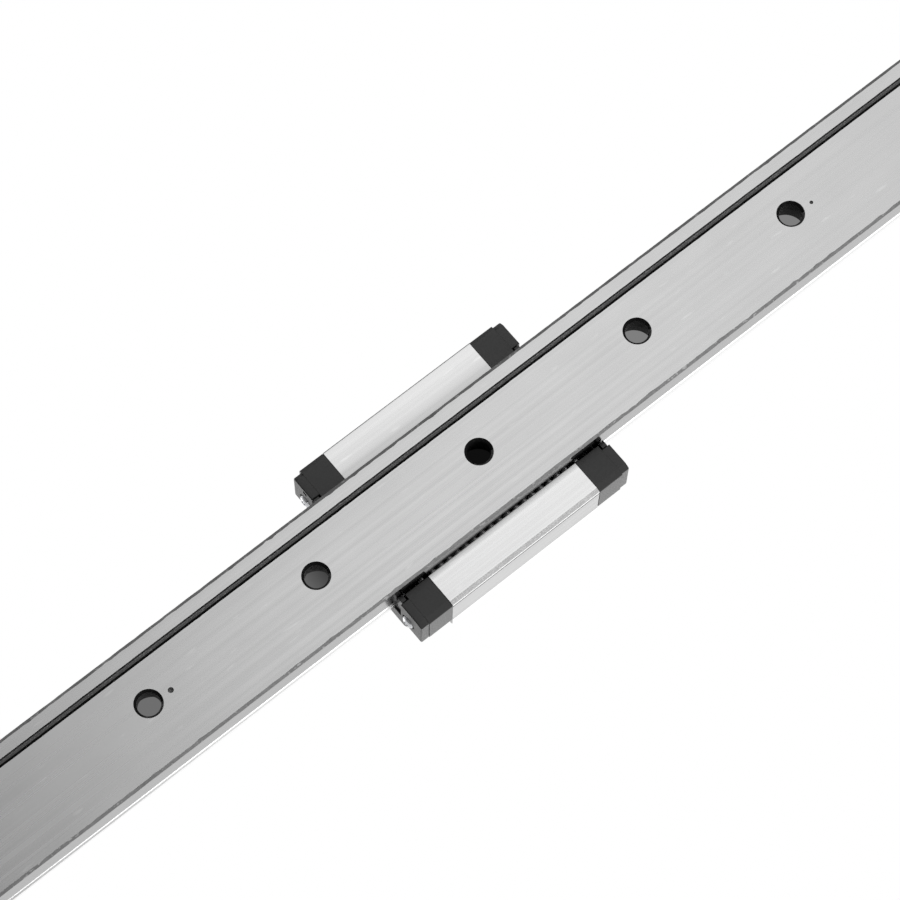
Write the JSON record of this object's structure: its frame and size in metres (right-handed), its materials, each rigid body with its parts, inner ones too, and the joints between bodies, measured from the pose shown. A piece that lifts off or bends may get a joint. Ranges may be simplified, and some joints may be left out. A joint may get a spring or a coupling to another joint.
{
  "type": "miniature linear guide rail",
  "caption": "Wide miniature linear guide: a counterbored steel rail with a ball groove in each side and one recirculating ball carriage that slides on it.",
  "frame": {"origin": "middle of the rail's base face, halfway along the rail", "axes": "+X along the rail, +Y to the carriage's left side, +Z from the rail's base to the carriage's top face"},
  "size_m": [0.2, 0.03, 0.012],
  "materials": {
    "rail_steel": "ground, with fine lengthwise brushing",
    "block_steel": "ground faces and bead blasted skirts",
    "black_plastic": "fine moulded texture",
    "seal_rubber": "matte",
    "fastener_steel": "bright zinc plating",
    "ball_steel": "polished"
  },
  "bodies": {
    "rail": {"guide_rail": "rail_steel"},
    "carriage": {"carriage_block": "block_steel", "end_cap_front": "black_plastic", "end_cap_rear": "black_plastic", "end_seal_plate_front": "black_plastic", "end_seal_plate_rear": "black_plastic", "end_seal_lip_front": "seal_rubber", "end_seal_lip_rear": "seal_rubber", "grease_plug_front": "fastener_steel", "grease_plug_rear": "fastener_steel", "return_guide_front_left": "black_plastic", "return_guide_front_right": "black_plastic", "return_guide_rear_left": "black_plastic", "return_guide_rear_right": "black_plastic", "end_cap_screw_front_left": "fastener_steel", "end_cap_screw_front_right": "fastener_steel", "end_cap_screw_rear_left": "fastener_steel", "end_cap_screw_rear_right": "fastener_steel", "turn_balls_front_left": "ball_steel", "turn_balls_front_right": "ball_steel", "turn_balls_rear_left": "ball_steel", "turn_balls_rear_right": "ball_steel", "loaded_balls_left": "ball_steel", "loaded_balls_right": "ball_steel", "return_balls_left": "ball_steel", "return_balls_right": "ball_steel", "ball_retainer_left": "fastener_steel", "ball_retainer_right": "fastener_steel"}
  },
  "joints": [
    {"name": "carriage_slide", "type": "slide", "parent": "rail", "child": "carriage", "axis": [1, 0, 0], "range_m": [-0.0772, 0.0838]}
  ]
}
